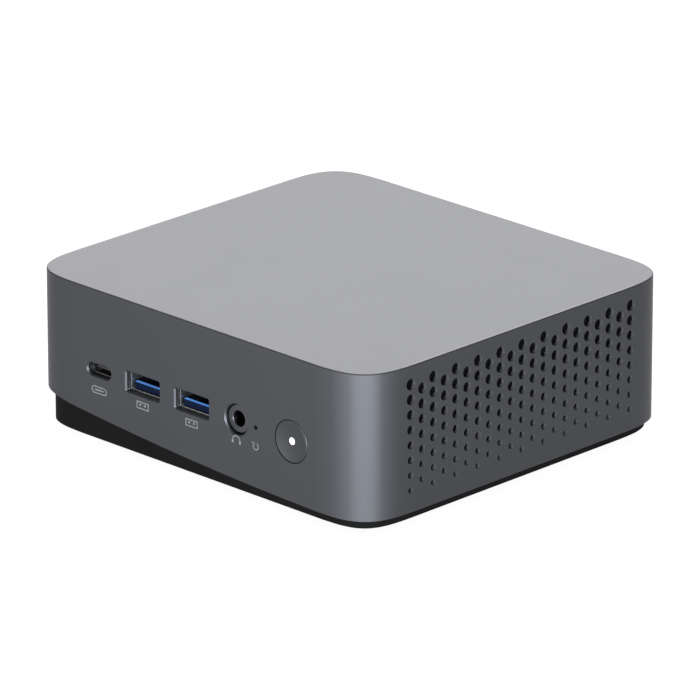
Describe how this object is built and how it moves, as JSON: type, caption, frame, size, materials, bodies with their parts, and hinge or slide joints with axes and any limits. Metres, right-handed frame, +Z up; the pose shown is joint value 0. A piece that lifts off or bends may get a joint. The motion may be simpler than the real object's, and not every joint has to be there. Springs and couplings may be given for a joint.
{
  "type": "mini pc",
  "caption": "Low square desktop mini computer: soft-cornered metal shell with perforated sides on a black wedge base, front sockets, round lit power button, fan-cooled board inside.",
  "frame": {"origin": "on the floor under the middle of the case, at the underside of the feet", "axes": "+X to the right seen from the front, +Y to the back (the front sockets face -Y), +Z up"},
  "size_m": [0.136, 0.126, 0.048],
  "materials": {
    "grey_shell": "bead-blasted, dark grey anodised",
    "black_base": "fine moulded texture",
    "foot_rubber": "matt",
    "screw_steel": "zinc plated",
    "spacer_brass": "machined",
    "socket_steel": "nickel plated sheet",
    "usb_blue": "moulded",
    "black_plastic": "moulded",
    "jack_metal": "dark nickel",
    "contact_gold": "gold plated",
    "button_metal": "bead-blasted, dark grey anodised",
    "lens_white": "lit, diffusing",
    "board_green": "solder mask",
    "chip_green": "laminate",
    "die_silicon": "polished",
    "sink_aluminium": "extruded",
    "fan_black": "moulded",
    "chip_black": "epoxy",
    "cell_steel": "polished",
    "can_aluminium": "drawn",
    "coil_grey": "moulded ferrite",
    "antenna_board": "laminate",
    "filter_mesh": "polyester mesh"
  },
  "bodies": {
    "case": {"antenna_strips": "antenna_board", "audio_jack_barrel": "jack_metal", "audio_jack_body": "black_plastic", "base_cover": "black_base", "base_screws": "screw_steel", "battery_holder": "black_plastic", "board_standoffs": "spacer_brass", "capacitors": "can_aluminium", "card_screws": "screw_steel", "card_spacers": "spacer_brass", "clock_battery": "cell_steel", "drive_card": "board_green", "drive_chips": "chip_black", "drive_socket": "black_plastic", "dust_screens": "filter_mesh", "fan_frame": "fan_black", "fan_screws": "screw_steel", "fan_spindle": "screw_steel", "front_usb_1_sleeve": "socket_steel", "front_usb_1_tongue": "usb_blue", "front_usb_2_sleeve": "socket_steel", "front_usb_2_tongue": "usb_blue", "heatsink": "sink_aluminium", "mainboard": "board_green", "memory_lower_chips": "chip_black", "memory_lower_module": "board_green", "memory_lower_socket": "black_plastic", "memory_upper_chips": "chip_black", "memory_upper_module": "board_green", "memory_upper_socket": "black_plastic", "network_contacts": "contact_gold", "network_jack": "socket_steel", "power_coils": "coil_grey", "power_inlet_body": "black_plastic", "power_inlet_pin": "contact_gold", "power_switch_body": "black_plastic", "processor_die": "die_silicon", "processor_package": "chip_green", "radio_card": "board_green", "radio_chips": "chip_black", "radio_socket": "black_plastic", "rear_usb_1_sleeve": "socket_steel", "rear_usb_1_tongue": "usb_blue", "rear_usb_2_sleeve": "socket_steel", "rear_usb_2_tongue": "usb_blue", "reset_switch_body": "black_plastic", "rubber_feet": "foot_rubber", "top_shell": "grey_shell", "usb_c_riser": "black_plastic", "usb_c_sleeve": "socket_steel", "usb_c_tongue": "black_plastic", "video_1_sleeve": "socket_steel", "video_1_tongue": "black_plastic", "video_2_sleeve": "socket_steel", "video_2_tongue": "black_plastic"},
    "power_button": {"power_button": "button_metal", "power_led_lens": "lens_white"},
    "power_plunger": {"power_switch_plunger": "black_plastic"},
    "reset_plunger": {"reset_switch_plunger": "black_plastic"},
    "impeller": {"fan_impeller": "fan_black"}
  },
  "joints": [
    {"name": "power_button_press", "type": "slide", "parent": "case", "child": "power_button", "axis": [0, 1, 0], "range_m": [0, 0.0005], "stiffness_N_per_m": 2000, "springref_m": -0.0004},
    {"name": "power_plunger_press", "type": "slide", "parent": "case", "child": "power_plunger", "axis": [0, 1, 0], "range_m": [0, 0.0005]},
    {"name": "reset_press", "type": "slide", "parent": "case", "child": "reset_plunger", "axis": [0, 1, 0], "range_m": [0, 0.00025], "stiffness_N_per_m": 2000, "springref_m": -0.0004},
    {"name": "fan_spin", "type": "hinge", "parent": "case", "child": "impeller", "pos_m": [0, 0, 0.038], "axis": [0, 0, 1], "continuous": true}
  ],
  "couplings": [
    {"joint": "power_plunger_press", "follows": "power_button_press", "ratio": 1}
  ]
}
